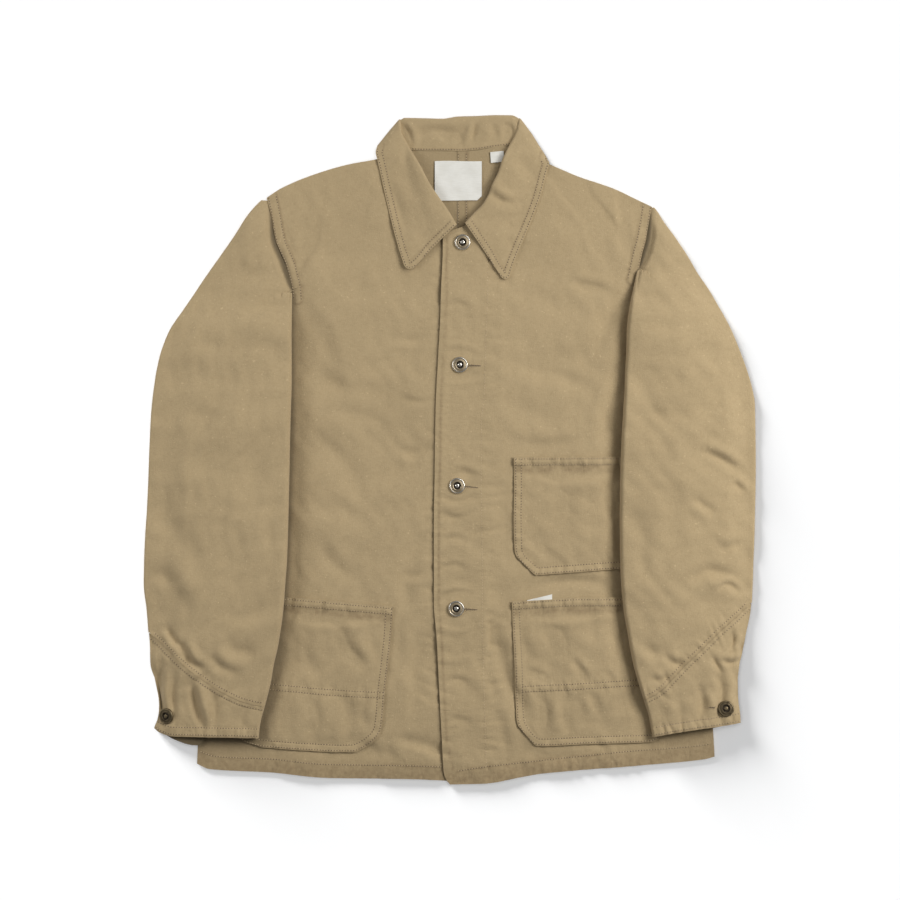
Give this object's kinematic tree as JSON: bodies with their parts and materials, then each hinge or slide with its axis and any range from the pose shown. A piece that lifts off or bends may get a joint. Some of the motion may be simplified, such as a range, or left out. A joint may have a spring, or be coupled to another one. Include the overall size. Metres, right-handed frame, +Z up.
{
  "type": "chore jacket laid flat",
  "caption": "Buttoned cotton drill chore jacket laid flat on its back, with a turned-down collar, patch pockets and shaped cuffs.",
  "frame": {"origin": "centre of the footprint, on the surface the jacket lies on", "axes": "+Y towards the collar, +Z up out of the fronts, +X towards the wearer's left sleeve"},
  "size_m": [0.6842, 0.7471, 0.018],
  "materials": {
    "drill": "washed cotton drill, matte, with tonal double stitching and puckered seams",
    "label": "plain off-white woven tape",
    "button_metal": "aged brass, satin, darker in the dish"
  },
  "bodies": {
    "root": {"back_left": "drill", "back_right": "drill", "front_left": "drill", "front_right": "drill", "collar_left_leaf": "drill", "collar_right_leaf": "drill", "collar_back": "drill", "sleeve_left_upper": "drill", "sleeve_left_under": "drill", "sleeve_right_upper": "drill", "sleeve_right_under": "drill", "cuff_left": "drill", "cuff_right": "drill", "pocket_chest": "drill", "pocket_lower_left": "drill", "pocket_lower_right": "drill", "neck_label": "label", "size_tag": "label", "pocket_tab": "label", "button_front_1": "button_metal", "button_front_2": "button_metal", "button_front_3": "button_metal", "button_front_4": "button_metal", "button_cuff_left": "button_metal", "button_cuff_right": "button_metal"}
  },
  "joints": []
}
